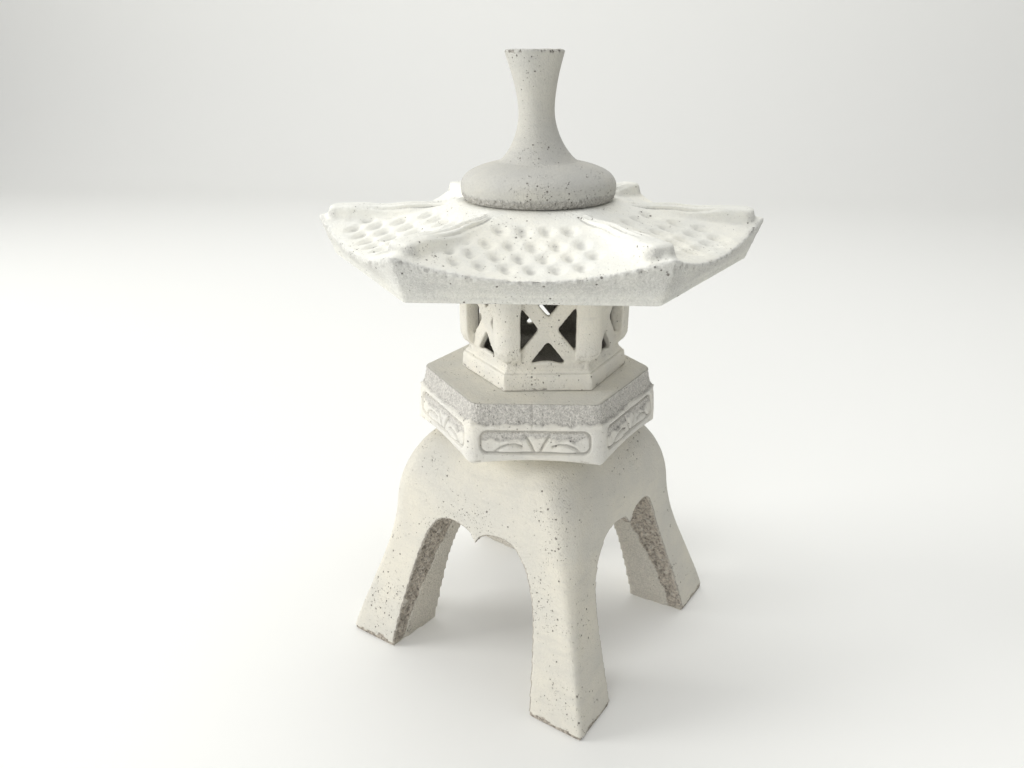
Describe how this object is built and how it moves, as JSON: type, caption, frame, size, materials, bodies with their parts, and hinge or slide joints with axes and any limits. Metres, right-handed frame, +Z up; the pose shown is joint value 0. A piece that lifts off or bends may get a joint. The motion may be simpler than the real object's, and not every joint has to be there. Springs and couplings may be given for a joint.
{
  "type": "garden lantern",
  "caption": "Small cast garden lantern: flared base on legs, six-sided collar, open lattice light chamber, swept six-sided roof and turned finial, stacked dry so each piece lifts off.",
  "frame": {"origin": "middle of the footprint, on the floor", "axes": "+Z up through the stack; the base's four sides face +X, -X, +Y and -Y; the six-sided pieces have flats facing close to +X and -X"},
  "size_m": [0.2388, 0.273, 0.381],
  "materials": {
    "base_cement": "matt cast cement, warm off-white, with small air holes and rough broken arch edges",
    "collar_cement": "matt cast cement, greyer and more grainy round the top band",
    "chamber_cement": "matt cast cement, soft edges",
    "roof_cement": "matt cast cement, pale on top, grey and grainy on the fascia",
    "finial_cement": "smooth matt cast cement, slightly greyer"
  },
  "bodies": {
    "legged_base": {"legged_base": "base_cement"},
    "collar": {"collar": "collar_cement"},
    "light_chamber": {"light_chamber": "chamber_cement"},
    "roof": {"roof": "roof_cement"},
    "finial": {"finial": "finial_cement"}
  },
  "joints": [
    {"name": "collar_lift", "type": "slide", "parent": "legged_base", "child": "collar", "axis": [0, 0, 1], "range_m": [0, 0.06]},
    {"name": "chamber_lift", "type": "slide", "parent": "collar", "child": "light_chamber", "axis": [0, 0, 1], "range_m": [0, 0.06]},
    {"name": "roof_lift", "type": "slide", "parent": "light_chamber", "child": "roof", "axis": [0, 0, 1], "range_m": [0, 0.1]},
    {"name": "finial_lift", "type": "slide", "parent": "roof", "child": "finial", "axis": [0, 0, 1], "range_m": [0, 0.06]}
  ]
}
